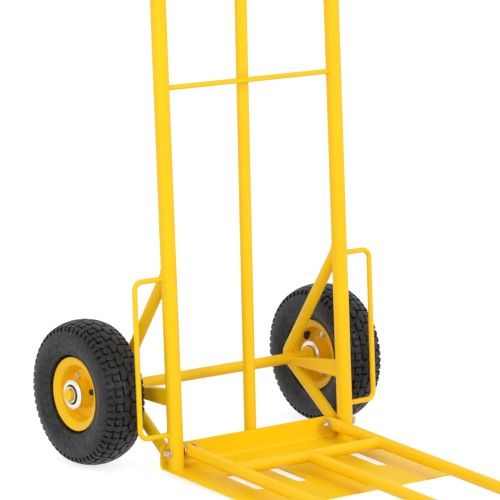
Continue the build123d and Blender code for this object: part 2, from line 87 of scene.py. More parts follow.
class Nodes:
    """Adds and wires the nodes of one material."""

    def __init__(self, name):
        self.material = bpy.data.materials.new(name)
        self.material.use_nodes = True
        self.tree = self.material.node_tree
        self.shader = self.tree.nodes["Principled BSDF"]

    def add(self, kind, **values):
        node = self.tree.nodes.new(kind)
        for key, value in values.items():
            setattr(node, key, value)
        return node

    def link(self, output, socket):
        self.tree.links.new(output, socket)

    def noise(self, scale, detail=2.0, roughness=0.5, distortion=0.0):
        """Noise in object space; the scale is in cycles per metre."""
        place = self.add("ShaderNodeTexCoord")
        node = self.add("ShaderNodeTexNoise")
        fill(node, {"Scale": scale, "Detail": detail, "Roughness": roughness, "Distortion": distortion})
        self.link(place.outputs["Object"], node.inputs["Vector"])
        return node.outputs["Fac"]

    def ramp(self, source, low, first, high, second):
        """Colour that goes from the first to the second while a noise goes from low to high."""
        node = self.add("ShaderNodeValToRGB")
        for element, position, colour in zip(node.color_ramp.elements, (low, high), (first, second)):
            element.position = position
            element.color = (*colour, 1.0)
        self.link(source, node.inputs["Fac"])
        return node.outputs["Color"]

    def mask(self, source, low, high, amount):
        """Mask that goes from 0 to an amount while a noise goes from low to high."""
        node = self.add("ShaderNodeMath", operation="MULTIPLY")
        self.link(self.ramp(source, low, (0.0, 0.0, 0.0), high, (1.0, 1.0, 1.0)), node.inputs[0])
        node.inputs[1].default_value = amount
        return node.outputs[0]

    def spread(self, source, low, high):
        """Map a noise to a range of values."""
        node = self.add("ShaderNodeMapRange")
        fill(node, {"From Min": 0.3, "From Max": 0.7, "To Min": low, "To Max": high})
        self.link(source, node.inputs["Value"])
        return node.outputs["Result"]

    def mix(self, factor, first, second):
        """Mix two colours, each a socket or an RGB tuple."""
        node = self.add("ShaderNodeMix", data_type="RGBA")
        for value, socket in ((first, node.inputs[6]), (second, node.inputs[7])):
            if isinstance(value, tuple):
                socket.default_value = (*value, 1.0)
            else:
                self.link(value, socket)
        self.link(factor, node.inputs[0])
        return node.outputs[2]

    def bump(self, layers):
        """Chain bump nodes from pairs of height source, distance in metres."""
        normal = None
        for source, distance in layers:
            node = self.add("ShaderNodeBump")
            fill(node, {"Distance": distance, "Strength": 1.0})
            self.link(source, node.inputs["Height"])
            if normal is not None:
                self.link(normal, node.inputs["Normal"])
            normal = node.outputs["Normal"]
        self.link(normal, self.shader.inputs["Normal"])


def paint(name, bright, deep, dust):
    """Powder coat: two close shades, a fine orange peel and a little dust."""
    n = Nodes(name)
    tone = n.ramp(n.noise(9.0, 3.0), 0.35, deep, 0.65, bright)
    veil = n.mask(n.noise(900.0), 0.66, 0.74, 0.1)
    n.link(n.mix(veil, tone, dust), n.shader.inputs["Base Color"])
    n.link(n.spread(n.noise(60.0, 4.0), 0.3, 0.42), n.shader.inputs["Roughness"])
    n.shader.inputs["Specular IOR Level"].default_value = 0.22
    n.bump([(n.noise(420.0), 0.00006), (n.noise(40.0), 0.0001)])
    return n.material


def plated(name, colour, shade, roughness, grain):
    """Bright zinc or steel: a metal with faint stains and a fine grain."""
    n = Nodes(name)
    n.link(n.ramp(n.noise(160.0, 3.0, 0.6), 0.3, shade, 0.7, colour), n.shader.inputs["Base Color"])
    n.shader.inputs["Metallic"].default_value = 1.0
    n.link(n.spread(n.noise(500.0, 3.0), roughness - 0.06, roughness + 0.08), n.shader.inputs["Roughness"])
    n.bump([(n.noise(grain, 3.0), 0.00003)])
    return n.material


def rubber(name, colour, dusty, roughness, grain, dust_amount, waves=0.0, painted_glint_amount=0.0):
    """Black rubber: a skin with pale dust in patches, sparse pale specks of painted glint, a fine grain and
    shallow waves.
    """
    n = Nodes(name)
    patches = n.mask(n.noise(120.0, 8.0, 0.72, 0.6), 0.44, 0.7, dust_amount)
    # Sparse pale specks mixed into the base colour: painted glints that stand in for highlights on block
    # edges.
    painted_glints = n.mask(n.noise(95.0, 3.0, 0.6, 1.5), 0.7, 0.76, painted_glint_amount)
    tone = n.mix(patches, colour, dusty)
    n.link(n.mix(painted_glints, tone, (0.4, 0.4, 0.42)), n.shader.inputs["Base Color"])
    gloss = n.spread(n.noise(160.0, 5.0, 0.6), roughness - 0.09, roughness + 0.16)
    n.link(gloss, n.shader.inputs["Roughness"])
    n.shader.inputs["Specular IOR Level"].default_value = 0.27
    n.bump([(n.noise(grain, 3.0), 0.00012), (n.noise(150.0, 4.0, 0.65), 0.0002 + waves)])
    return n.material


# Colours, then roughness, grain, and for rubber the dust, waves and painted glints
materials = {
    "frame_paint": paint("yellow_powder_coat", (0.98, 0.61, 0.001), (0.97, 0.585, 0.001), (0.97, 0.74, 0.1)),
    # Toe plate: a yellower copy of the frame paint, painted light for the lit plate and its flange.
    "plate_paint_painted_light": paint("plate_powder_coat_painted_light", (0.97, 0.66, 0.001), (0.96, 0.635, 0.001), (0.97, 0.76, 0.1)),
    # Rims and hubs: a little more orange than the frame paint, painted shade for the deep orange of the
    # shaded dishes.
    "rim_paint": paint("rim_powder_coat_painted_shade", (0.98, 0.59, 0.001), (0.97, 0.56, 0.001), (0.97, 0.72, 0.1)),
    "zinc": plated("bright_zinc", (0.88, 0.85, 0.76), (0.78, 0.75, 0.66), 0.34, 900.0),
    # Fastener zinc: darker and warmer than the bright zinc; its yellow tint is painted reflection of the
    # paint around it, and the darker tone dims its glints.
    "zinc_painted_reflection": plated("zinc_painted_reflection", (0.78, 0.7, 0.54), (0.58, 0.5, 0.37), 0.3, 900.0),
    "steel": plated("bearing_steel", (0.62, 0.62, 0.63), (0.5, 0.5, 0.51), 0.3, 1200.0),
    # The tyre's last number is the share of pale specks of painted glint.
    "tyre": rubber("tyre_rubber", (0.008, 0.008, 0.0085), (0.088, 0.088, 0.093), 0.34, 700, 0.5, 8e-4, 0.6),
    "tube_rubber": rubber("valve_rubber", (0.012, 0.012, 0.012), (0.03, 0.03, 0.03), 0.4, 900.0, 0.3),
    "grip_rubber": rubber("grip_rubber", (0.018, 0.018, 0.019), (0.05, 0.05, 0.05), 0.6, 900.0, 0.3),
    "black_plastic": rubber("black_plastic", (0.014, 0.014, 0.015), (0.03, 0.03, 0.03), 0.42, 1100.0, 0.2),
}

# The CAD nodes that show keep their shape and take the materials of their slots; the toe plate takes a
# yellower copy of the frame paint, which is painted light.
slot_of = {entry["node"]: entry["material_slot"] for entry in frame["record"]["subparts"]}
for node, obj in frame["nodes"].items():
    obj.data.materials.clear()
    obj.data.materials.append(materials["plate_paint_painted_light" if node == "toe_plate" else slot_of[node]])


# ---- mesh helpers


def piece(name, shape, slot, body, crease=35.0, finish=None):
    """Mesh object with the material of a slot, or another finish of that slot, riding on a body."""
    mesh = bpy.data.meshes.new(name)
    mesh.from_pydata([tuple(v) for v in shape.vertices], [], shape.faces)
    mesh.update()
    work = bmesh.new()
    work.from_mesh(mesh)
    bmesh.ops.recalc_face_normals(work, faces=work.faces)
    work.to_mesh(mesh)
    work.free()
    for polygon in mesh.polygons:
        polygon.use_smooth = True
    mesh.set_sharp_from_angle(angle=radians(crease))
    obj = bpy.data.objects.new(name, mesh)
    bpy.context.scene.collection.objects.link(obj)
    mesh.materials.append(materials[finish or slot])
    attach(obj, body)
    return obj


def circle(count):
    """Angles that divide a turn evenly."""
    return [2 * pi * k / count for k in range(count)]


class Shape:
    """Collects vertices and faces of several closed shells for one piece."""

    def __init__(self):
        self.vertices = []
        self.faces = []

    def grid(self, rows, close_rows, close_columns):
        """Quads between rows of points, each row as long as the others."""
        start = len(self.vertices)
        count, width = len(rows), len(rows[0])
        for row in rows:
            self.vertices.extend(row)
        for i in range(count if close_rows else count - 1):
            here, there = start + i * width, start + (i + 1) % count * width
            for j in range(width if close_columns else width - 1):
                after = (j + 1) % width
                self.faces.append((here + j, here + after, there + after, there + j))
        return start

    def cap(self, row, reverse=False):
        """One face over a ring of vertex numbers."""
        self.faces.append(tuple(reversed(row)) if reverse else tuple(row))

    def tube(self, rows, reverse=False):
        """Closed shell from rings of points, with a face over its first ring and one over its last."""
        start = self.grid(rows, False, True)
        width = len(rows[0])
        for first, flip in ((start, reverse), (start + (len(rows) - 1) * width, not reverse)):
            self.cap(range(first, first + width), flip)

    def sweep(self, points, radii, closed, reference=None, around=8):
        """Round bead or wire along points; the reference is a direction that the path never takes."""
        count = len(points)
        centre = sum(points, Vector()) / count
        rows = []
        for i, point in enumerate(points):
            before = points[i - 1] if closed or i > 0 else point
            after = points[(i + 1) % count] if closed or i < count - 1 else point
            run = (after - before).normalized()
            out = reference if reference is not None else point - centre
            out = (out - run * out.dot(run)).normalized()
            side = run.cross(out)
            rows.append([point + (out * cos(a) + side * sin(a)) * radii[i] for a in circle(around)])
        if closed:
            self.grid(rows, True, True)
        else:
            self.tube(rows)


def axis_frame(origin, direction, up=Vector((0, 0, 1))):
    """Matrix whose own X runs along a direction, for shapes turned about that direction."""
    x = Vector(direction).normalized()
    side = Vector(up).cross(x)
    if side.length < 1e-6:
        side = Vector((0, 1, 0)).cross(x)
    y = side.normalized()
    z = x.cross(y)
    return Matrix.Translation(origin) @ Matrix((x, y, z)).transposed().to_4x4()


def lathe(shape, matrix, profile, segments, closed=True):
    """Turn a profile of (along, radius) about the matrix's X; a closed profile makes a ring."""
    rows = []
    for angle in circle(segments):
        rows.append([matrix @ Vector((a, r * cos(angle), r * sin(angle))) for a, r in profile])
    start = shape.grid(rows, True, closed)
    if not closed:
        width = len(profile)
        end = start + segments * width
        shape.cap(range(start, end, width))
        shape.cap(range(start + width - 1, end, width), True)


def rounded(profile, radius, steps=4):
    """Closed profile with each corner replaced by an arc of up to the given radius."""
    result = []
    for i, here in enumerate(profile):
        here = Vector(here)
        u = Vector(profile[i - 1]) - here
        v = Vector(profile[(i + 1) % len(profile)]) - here
        turn = u.angle(v)
        if turn > radians(172):
            result.append(tuple(here))
            continue
        reach = min(radius / tan(turn / 2), 0.45 * u.length, 0.45 * v.length)
        first = here + u.normalized() * reach
        last = here + v.normalized() * reach
        for t in (k / steps for k in range(steps + 1)):
            result.append(tuple(first * (1 - t) ** 2 + here * 2 * t * (1 - t) + last * t ** 2))
    return result


def turned_row(matrix, level, radii):
    """Row of points about the matrix's X at a level, one for each radius."""
    return [matrix @ Vector((level, r * cos(a), r * sin(a))) for a, r in zip(circle(len(radii)), radii)]


hexagon_count = 60
hexagon_chamfer = 0.94
hexagon_rim = 0.98
bore_bevel = 0.0006


def hexagon(shape, matrix, flats, height, bore=0.0, recess=0.0):
    """Hexagon nut, or head with a recess, up to its height along the matrix's X, its corners turned off."""
    flat_sides = [flats / 2 / cos(a % (pi / 3) - pi / 6) for a in circle(hexagon_count)]
    corner = flats / 2 / cos(pi / 6)
    face = flats / 2 * hexagon_chamfer
    drop = (corner - face) * tan(radians(30))
    levels = [(0.0, corner)]
    levels += [(height - drop * (1 - t), corner - (corner - face) * t) for t in (k / 6 for k in range(7))]
    rows = [turned_row(matrix, level, [min(r, limit) for r in flat_sides]) for level, limit in levels]
    inner = face * hexagon_rim
    inside = [(height - recess * 0.2, inner - recess), (height - recess, inner - 2 * recess)]
    if bore > 0:
        inside = [(height, bore + bore_bevel), (height - bore_bevel, bore), (0.0, bore)]
    rows += [turned_row(matrix, level, [r] * hexagon_count) for level, r in inside]
    if bore > 0:
        shape.grid(rows, True, True)
    else:
        shape.tube(rows)


# ---- tyres

# Outer section: distances across are from the wheel's centre plane
tyre_radius = 0.13
crown_half = 0.036
crown_drop = 0.009
crown_curvature = 13.0
wall_half = 0.042
wall_radius = 0.099
foot_half = 0.0275
foot_radius = 0.0655
bead_radius = 0.051
bead_width = 0.008
tyre_wall = 0.006

# Tread: distances across are measured along the section, from the crown's middle
pitch_count = 30
pitch = 2 * pi / pitch_count
tread_angle = {"left": radians(2.5), "right": radians(5.0)}
tread_rows = (
    # from, to, blocks in a pitch
    (0.0013, 0.0124, 1),
    (0.015, 0.0274, 2),
    (0.0302, 0.0482, 2),
)
tread_end = tread_rows[-1][1]
groove_depth = 0.0054
groove_fade = 0.0085
groove_fade_lead = 0.0075
shoulder_depth = 0.0019
shoulder_at = 0.0375
shoulder_spread = 0.003
cross_groove = 0.003
sipe = 0.0016
shoulder_notch = 0.0034
block_corner = 0.0028
block_edge = 0.0009
block_bevel = 0.3 * block_edge
block_root = 0.001
least_corner = 0.0002
crown_bulge = 0.0015
lug_fade_start = 0.033
lug_taper = 0.34
lug_sink = 0.0012

# Low bars that tie the blocks: reach past two distances across, shares of a pitch, sink
tie_corner = 0.001
row_tie = ((-0.002, 0.002), (0.64, 0.93), 0.0006)
corner_tie = ((0.0004, 0.0046), (-0.13, 0.13), 0.0006)
centre_tie = ((-0.003, 0.003), (0.28, 0.66), 0.0008)

side_rings = (
    # distance from the rim, half width, height
    (0.035, 0.001, 0.0004),
    (0.0305, 0.001, 0.0004),
    (0.02, 0.0008, 0.0003),
    (0.01, 0.0036, 0.0019),
    (0.001, 0.0048, -0.003),
)
pip_angles = (0.35, 1.9, 3.5, 5.05)
pip_gap = 0.13
pip_from_rim = 0.0265
pip_profile = [(-0.001, 0.0011), (0.0004, 0.0011), (0.0008, 0.0007)]


def arc_through(a, b, c, steps):
    """Points on the circle through three points, from the first to the last."""
    (ax, ay), (bx, by), (cx, cy) = a, b, c
    d = 2 * (ax * (by - cy) + bx * (cy - ay) + cx * (ay - by))
    aa, bb, cc = ax ** 2 + ay ** 2, bx ** 2 + by ** 2, cx ** 2 + cy ** 2
    ux = (aa * (by - cy) + bb * (cy - ay) + cc * (ay - by)) / d
    uy = (aa * (cx - bx) + bb * (ax - cx) + cc * (bx - ax)) / d
    r = hypot(ax - ux, ay - uy)
    first, middle, last = (atan2(y - uy, x - ux) for x, y in (a, b, c))
    turn = (last - first) % (2 * pi)
    if (middle - first) % (2 * pi) > turn:
        turn -= 2 * pi
    angles = [first + turn * k / steps for k in range(steps + 1)]
    return [(ux + r * cos(angle), uy + r * sin(angle)) for angle in angles]


def half_section(inset, steps):
    """Outer section of one side of the tyre, from the crown's middle to the rim, taken in by an inset."""
    edge = (crown_half - inset, tyre_radius - crown_drop - inset)
    middle = (0.0, tyre_radius - inset)
    crown = arc_through((-edge[0], edge[1]), middle, edge, 2 * steps)[steps:]
    side = arc_through(edge, (wall_half - inset, wall_radius), (foot_half - inset, foot_radius), 2 * steps)
    return crown + side[1:]


outline = [Vector(point) for point in half_section(0.0, 60)]
for _ in range(3):
    softened = [(a + 2 * b + c) / 4 for a, b, c in zip(outline, outline[1:], outline[2:])]
    outline = [outline[0]] + softened + [outline[-1]]
outline_length = [0.0]
for a, b in zip(outline, outline[1:]):
    outline_length.append(outline_length[-1] + (b - a).length)
half_length = outline_length[-1]


def section(t):
    """Point (along X, radius) and outward normal of the section, t metres from the crown's middle."""
    side = -1 if t < 0 else 1
    t = min(abs(t), half_length)
    i = 1
    while outline_length[i] < t and i < len(outline) - 1:
        i += 1
    share = (t - outline_length[i - 1]) / (outline_length[i] - outline_length[i - 1])
    point = outline[i - 1].lerp(outline[i], share)
    run = outline[min(i + 1, len(outline) - 1)] - outline[max(i - 2, 0)]
    normal = Vector((-run.y, run.x)).normalized()
    if i < 3:
        normal = Vector((point.x * crown_curvature, 1.0)).normalized()
    return Vector((point.x * side, point.y)), Vector((normal.x * side, normal.y))


def smooth_step(value):
    """Smooth rise from 0 to 1 while a value goes from 0 to 1."""
    value = min(max(value, 0.0), 1.0)
    return value * value * (3 - 2 * value)


def groove(t):
    """Depth of the groove floor: deepest at the shoulder's corner, running out on the side wall."""
    corner = shoulder_depth * exp(-((t - shoulder_at) / shoulder_spread) ** 2)
    return (groove_depth + corner) * (1 - smooth_step((t - tread_end + groove_fade_lead) / groove_fade))


def tread_point(place, side, t, turn, sink):
    """Point on the tyre, sunk below its outer section."""
    point, normal = section(side * t)
    point = point - normal * sink
    return place @ Vector((point.x, point.y * sin(turn), point.y * cos(turn)))


quarter_turns = ((1, -1, -pi / 2), (1, 1, 0), (-1, 1, pi / 2), (-1, -1, pi))


def rounded_ring(half_u, half_v, corner, inset):
    """Ring of points around a rounded rectangle in metres, always with as many points."""
    corner = max(min(corner, half_u * 0.8, half_v * 0.8) - inset, least_corner)
    u, v = half_u - inset - corner, half_v - inset - corner
    ring = []
    for k, (su, sv, start) in enumerate(quarter_turns):
        for step in range(5):
            angle = start + pi / 2 * step / 4
            ring.append((su * u + corner * cos(angle), sv * v + corner * sin(angle)))
        next_u, next_v, _ = quarter_turns[(k + 1) % 4]
        for share in (0.2, 0.4, 0.6, 0.8):
            across, up = su + (next_u - su) * share, sv + (next_v - sv) * share
            ring.append((across * u + corner * cos(angle), up * v + corner * sin(angle)))
    return ring


def tread_block(shape, place, side, across, turns, sink, corner=block_corner, bulge=0.0, run_out=False):
    """Block between two distances across and two angles around, its top sunk by a little."""
    middle_t, middle_turn = sum(across) / 2, sum(turns) / 2
    half_v = (across[1] - across[0]) / 2
    half_u = tyre_radius * (turns[1] - turns[0]) / 2

    def place_ring(ring, below=None):
        """Points of a ring at a depth below the block's top, or just below the groove's floor."""
        points = []
        for u, v in ring:
            t = middle_t + v - bulge * (1 - 2 * abs(u / half_u)) * (0.5 - 0.5 * v / half_v)
            fade = smooth_step((t - lug_fade_start) / (tread_end - lug_fade_start)) if run_out else 0.0
            depth = groove(t) + block_root if below is None else below + lug_sink * fade
            turn = middle_turn + u * (1 - lug_taper * fade) / tyre_radius
            points.append(tread_point(place, side, t, turn, sink + depth))
        return points

    foot = rounded_ring(half_u, half_v, corner, 0.0)
    bevel = rounded_ring(half_u, half_v, corner, block_bevel)
    top = rounded_ring(half_u, half_v, corner, block_edge)
    rings = [place_ring(foot), place_ring(foot, block_edge), place_ring(bevel, block_bevel)]
    for scale in (1.0, 0.78, 0.5, 0.22):
        rings.append(place_ring([(u * scale, v * scale) for u, v in top], 0.0))
    shape.tube(rings, True)


def add_tie(shape, place, side, start, low, high, tie):
    """Low bar in a pitch that begins at an angle, between two distances across."""
    reach, span, sink = tie
    turns = (start + span[0] * pitch, start + span[1] * pitch)
    tread_block(shape, place, side, (low + reach[0], high + reach[1]), turns, sink, tie_corner)


def make_tread(shape, place, name, side):
    """Half of a tread: three rows of blocks, and the low bars that tie them at their corners."""
    phase = tread_angle[name] + (0 if side == sides[name] else pitch / 2)
    notch, gap, cut = (width / 2 / tyre_radius for width in (shoulder_notch, cross_groove, sipe))
    for index in range(pitch_count):
        start = phase + index * pitch
        for number, (low, high, lugs) in enumerate(tread_rows):
            last = number == len(tread_rows) - 1
            bulge = crown_bulge if number == 0 else 0.0
            for lug in range(lugs):
                before = notch if last else gap if lug == 0 else cut
                after = notch if last else gap if lug == lugs - 1 else cut
                turns = (start + lug * pitch / lugs + before, start + (lug + 1) * pitch / lugs - after)
                tread_block(shape, place, side, (low, high), turns, 0.0, bulge=bulge, run_out=last)
            if not last:
                add_tie(shape, place, side, start, high, tread_rows[number + 1][0], row_tie)
            if number > 0:
                add_tie(shape, place, side, start, low, low, corner_tie)
        if side == sides[name]:
            add_tie(shape, place, side, start, 0.0, 0.0, centre_tie)


def side_relief(t):
    """Fine raised rings on the side wall, the rim guard, and the recess next to the rim."""
    from_rim = half_length - t
    return sum(rise * max(0.0, 1 - ((from_rim - where) / width) ** 2) for where, width, rise in side_rings)


def tyre_profile():
    """Closed section of the carcass, with its side rings, the floors of its grooves and its beads."""
    steps = 130
    outside = []
    for k in range(steps + 1):
        t = half_length * k / steps
        point, normal = section(t)
        outside.append(tuple(point + normal * (side_relief(t) - groove(t))))
    bead = foot_half - bead_width
    inside = [(0.0273, 0.0644), (0.0222, 0.0539), (0.0203, 0.0516), (bead, 0.0514)]
    inside += [(bead, bead_radius + tyre_wall), (foot_half - tyre_wall, bead_radius + tyre_wall)]
    inside += list(reversed(half_section(tyre_wall, 8)))
    half = outside + inside
    return half + [(-x, r) for x, r in reversed(half[1:-1])]


def make_tyre(name):
    """Carcass with its side-wall rings, tread blocks on both sides and a few vent pips."""
    shape = Shape()
    place = Matrix.Translation(wheel_centre[name])
    lathe(shape, place, tyre_profile(), 180)
    for side in sides.values():
        make_tread(shape, place, name, side)
    for side in sides.values():
        normal = section(side * (half_length - pip_from_rim))[1]
        for turn in (angle + offset for angle in pip_angles for offset in (0.0, pip_gap)):
            base = tread_point(place, side, half_length - pip_from_rim, turn, 0.0)
            out = Vector((normal.x, normal.y * sin(turn), normal.y * cos(turn)))
            lathe(shape, axis_frame(base, out), pip_profile, 10, False)
    obj = piece(f"{name}_tyre_rubber", shape, "tyre", f"{name}_wheel", 38.0)
    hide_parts(f"{name}_tyre")


for name in sides:
    make_tyre(name)


# ---- rims, hubs and bearings

fit_gap = 0.0001
rim_lip = 0.03
rim_sheet = 0.0025
rim_face = 0.0485
rim_rounding = 0.0028
dish_slope = 0.004
sheet_gap = 0.0002
lip_front = ((0.023, 0.0505), (0.0248, 0.0523), (0.0286, 0.0608), (0.0294, 0.0634), (0.0305, 0.0644))
lip_back = ((rim_lip - rim_sheet, 0.064), (0.0225, 0.0535))
hub_radius = 0.0255
hub_bore = 0.0232
hub_tube_half = 0.031
hub_weld = 0.0026
cup_radius = 0.0268
cup_bore = 0.021
cup_lip = 0.018
cup_sheet = 0.0011
cup_wall = 0.002
bearing_width = 0.012
bearing_inset = 0.0013
races = ((0.0187, 0.0209), (axle_radius + fit_gap, 0.0128))
seal_inner = 0.013
seal_outer = 0.0186
bolt_circle = 0.036
bolt_count = 4
bolt_radius = 0.0029
bolt_flats = 0.01
bolt_head = 0.0032
bolt_recess = 0.0004
bolt_washer = 0.0012
bolt_washer_radius = 0.0076
nut_flats = 0.011
nut_height = 0.005
nut_bore = 0.003
bolt_tail = 0.0015
bolt_point = 0.0006
bolt_angle = {"left": radians(45), "right": 0.0}
valve_angle = {"left": radians(166), "right": radians(43)}
valve_lean = radians(50)
valve_inset = 0.009
valve_length = 0.019
valve_sides = 48
valve_rib = 0.0003


def wheel_spot(name, along, radius, angle):
    """Point in a wheel: along X from its centre plane, and an angle from +Y towards +Z."""
    return wheel_centre[name] + Vector((along, radius * cos(angle), radius * sin(angle)))


def make_rim_half(name, end, facing):
    """Pressed rim half with a rolled lip and a filleted dish, its corners from the wheel's centre plane."""
    inner, dish = hub_radius + sheet_gap, rim_face - dish_slope
    corners = [
        (sheet_gap, inner), (rim_sheet, inner), (rim_sheet, dish - rim_sheet), (2 * rim_sheet, dish),
        *lip_front, (rim_lip, foot_radius + 0.0003), (rim_lip - rim_sheet, foot_radius + sheet_gap),
        *lip_back, (foot_half - bead_width, bead_radius), (sheet_gap, bead_radius),
    ]
    shape = Shape()
    matrix = axis_frame(wheel_centre[name], (facing, 0, 0))
    lathe(shape, matrix, rounded(corners, rim_rounding, 5), 144)
    obj = piece(f"{name}_rim_{end}_pressing", shape, "rim_paint", f"{name}_wheel", 50.0)
    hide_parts(f"{name}_rim_{end}")


def make_cup(name, end, facing):
    """White-zinc cup with a rolled edge around the bearing."""
    shape = Shape()
    face = hub_half
    back, shoulder = face - bearing_width, hub_tube_half + sheet_gap
    corners = [
        (back, cup_bore + fit_gap), (face - cup_sheet, cup_bore + fit_gap), (face - cup_sheet, cup_lip),
        (face - 0.0002, cup_lip), (face, cup_lip + 0.001), (face - 0.0002, cup_radius - 0.0038),
        (face - 0.0012, cup_radius - 0.0024), (face - 0.0014, cup_radius - 0.0012),
        (face - 0.003, cup_radius), (shoulder, cup_radius), (shoulder, cup_bore + cup_wall),
        (back, cup_bore + cup_wall),
    ]
    lathe(shape, axis_frame(wheel_centre[name], (facing, 0, 0)), rounded(corners, 0.001, 4), 96)
    obj = piece(f"{name}_cup_{end}", shape, "zinc", f"{name}_wheel", 50.0)
    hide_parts(f"{name}_bearing_cup_{end}")


def make_bearing(name, end, facing):
    """Ball bearing: two ground races and a dished seal between them."""
    shape = Shape()
    matrix = axis_frame(wheel_centre[name], (facing, 0, 0))
    face = hub_half - bearing_inset
    low = face - bearing_width + 0.0016
    for inner, outer in races:
        ring = [(low, inner), (low, outer), (face, outer), (face, inner)]
        lathe(shape, matrix, rounded(ring, 0.0005, 3), 80)
    obj = piece(f"{name}_bearing_{end}_races", shape, "steel", f"{name}_wheel", 50.0)
    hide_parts(f"{name}_bearing_{end}")
    seal = Shape()
    corners = [
        (face - 0.003, seal_inner), (face - 0.003, seal_outer), (face - 0.0012, seal_outer),
        (face - 0.0007, seal_outer - 0.001), (face - 0.0007, seal_inner + 0.0012),
        (face - 0.0013, seal_inner),
    ]
    lathe(seal, matrix, rounded(corners, 0.0004, 3), 80)
    piece(f"{name}_bearing_{end}_seal", seal, "tube_rubber", f"{name}_wheel", 50.0)


def make_hub(name):
    """Hub tube, painted with the rim, with a weld fillet where it passes the web."""
    shape = Shape()
    matrix = axis_frame(wheel_centre[name], (1, 0, 0))
    half = [
        (hub_tube_half, hub_bore), (hub_tube_half, hub_radius), (rim_sheet + 0.0035, hub_radius),
        (rim_sheet + 0.0004, hub_radius + hub_weld), (rim_sheet + 0.0001, hub_radius + hub_weld),
    ]
    corners = half + [(-x, r) for x, r in reversed(half)]
    lathe(shape, matrix, rounded(corners, 0.0008, 3), 96)
    obj = piece(f"{name}_hub_tube", shape, "rim_paint", f"{name}_wheel", 50.0)
    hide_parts(f"{name}_hub")


def bored_disc(shape, matrix, thickness, radius, bore, edge, segments=64):
    """Washer or ring with softened edges, along the matrix's X."""
    corners = [(0.0, bore), (0.0, radius), (thickness, radius), (thickness, bore)]
    lathe(shape, matrix, rounded(corners, edge, 3), segments)


def make_rim_bolts(name, side):
    """Hexagon screws through the web, their heads on the outer side and nuts on the inner one."""
    screws, nuts = Shape(), Shape()
    end = nut_height + bolt_tail
    stem = [(-2 * rim_sheet, bolt_radius), (end - bolt_point, bolt_radius), (end, bolt_radius - bolt_point)]
    for k, turn in enumerate(circle(bolt_count)):
        angle = bolt_angle[name] + turn
        out = axis_frame(wheel_spot(name, side * rim_sheet, bolt_circle, angle), (side, 0, 0))
        hexagon(screws, out @ Matrix.Rotation(0.4 * k, 4, "X"), bolt_flats, bolt_head, recess=bolt_recess)
        back = axis_frame(wheel_spot(name, -side * rim_sheet, bolt_circle, angle), (-side, 0, 0))
        bored_disc(nuts, back, bolt_washer, bolt_washer_radius, nut_bore + fit_gap, 0.0004, 48)
        seat = back @ Matrix.Translation((bolt_washer, 0, 0)) @ Matrix.Rotation(0.7 * k, 4, "X")
        hexagon(nuts, seat, nut_flats, nut_height, bore=nut_bore)
        lathe(screws, back, stem, 24, False)
    obj = piece(f"{name}_rim_screws", screws, "zinc", f"{name}_wheel", finish="zinc_painted_reflection")
    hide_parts(f"{name}_rim_bolts")
    obj = piece(f"{name}_rim_screw_nuts", nuts, "zinc", f"{name}_wheel", finish="zinc_painted_reflection")
    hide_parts(f"{name}_rim_nuts")


def make_valve(name):
    """Rubber valve stem with its grommet, and a ribbed plastic cap."""
    angle = valve_angle[name]
    foot = wheel_spot(name, -valve_inset, bead_radius + rim_sheet, angle)
    run = Vector((-cos(valve_lean), -sin(valve_lean) * cos(angle), -sin(valve_lean) * sin(angle)))
    matrix = axis_frame(foot, run, (0.3, 1, 0.2))
    stem = [
        # along, radius: foot, grommet, stem
        (0.0, 0.003), (0.006, 0.003), (0.007, 0.0062), (0.0108, 0.006), (0.012, 0.004), (0.0126, 0.0031),
        (valve_length - 0.004, 0.0028), (valve_length - 0.0005, 0.0026),
    ]
    shape = Shape()
    lathe(shape, matrix, stem, 32, False)
    obj = piece(f"{name}_valve_stem", shape, "tube_rubber", f"{name}_wheel", 50.0)
    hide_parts(f"{name}_valve")
    cap = (
        # along, radius, height of the ribs
        (0.0127, 0.0046, 0.0), (0.0127, 0.0051, valve_rib), (0.0194, 0.005, valve_rib),
        (0.0208, 0.0043, 0.0), (0.0215, 0.003, 0.0),
    )
    rows = []
    for along, radius, relief in cap:
        radii = [radius + relief * (k % 4 in (1, 2)) for k in range(valve_sides)]
        rows.append(turned_row(matrix, along, radii))
    shape = Shape()
    shape.tube(rows, True)
    obj = piece(f"{name}_valve_top", shape, "black_plastic", f"{name}_wheel", 30.0)
    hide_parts(f"{name}_valve_cap")


for name, side in sides.items():
    for end, facing in (("outer", side), ("inner", -side)):
        make_rim_half(name, end, facing)
        make_cup(name, end, facing)
        make_bearing(name, end, facing)
    make_hub(name)
    make_rim_bolts(name, side)
    make_valve(name)


# ---- axle ends

cap_wall = 0.0008
cap_edge = (
    # below the face, in from the side
    (0.0012, 0.0), (0.0006, 0.0002), (0.0002, 0.0007), (0.0, 0.0016), (0.0001, 0.0028), (0.0004, 0.0034),
)
pin_wire = 0.0009
pin_eye = 0.0024
pin_leg = 0.0012
pin_bend = 0.0035
pin_spread = 0.005


def outward(name, node, side):
    """Matrix on the inner end of a node around the axle, its X pointing outwards, and the node's length."""
    low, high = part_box(node)
    start = (low.x if side > 0 else high.x, *wheel_centre[name].yz)
    return axis_frame(start, (side, 0, 0)), high.x - low.x


def make_washer(name, side):
    """Washer outside the wheel's bearing."""
    low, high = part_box(f"{name}_axle_washer")
    shape = Shape()
    matrix, thickness = outward(name, f"{name}_axle_washer", side)
    bored_disc(shape, matrix, thickness, (high.z - low.z) / 2, axle_radius + fit_gap, 0.0004)
    obj = piece(f"{name}_axle_end_washer", shape, "zinc", "frame", 50.0)
    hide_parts(f"{name}_axle_washer")


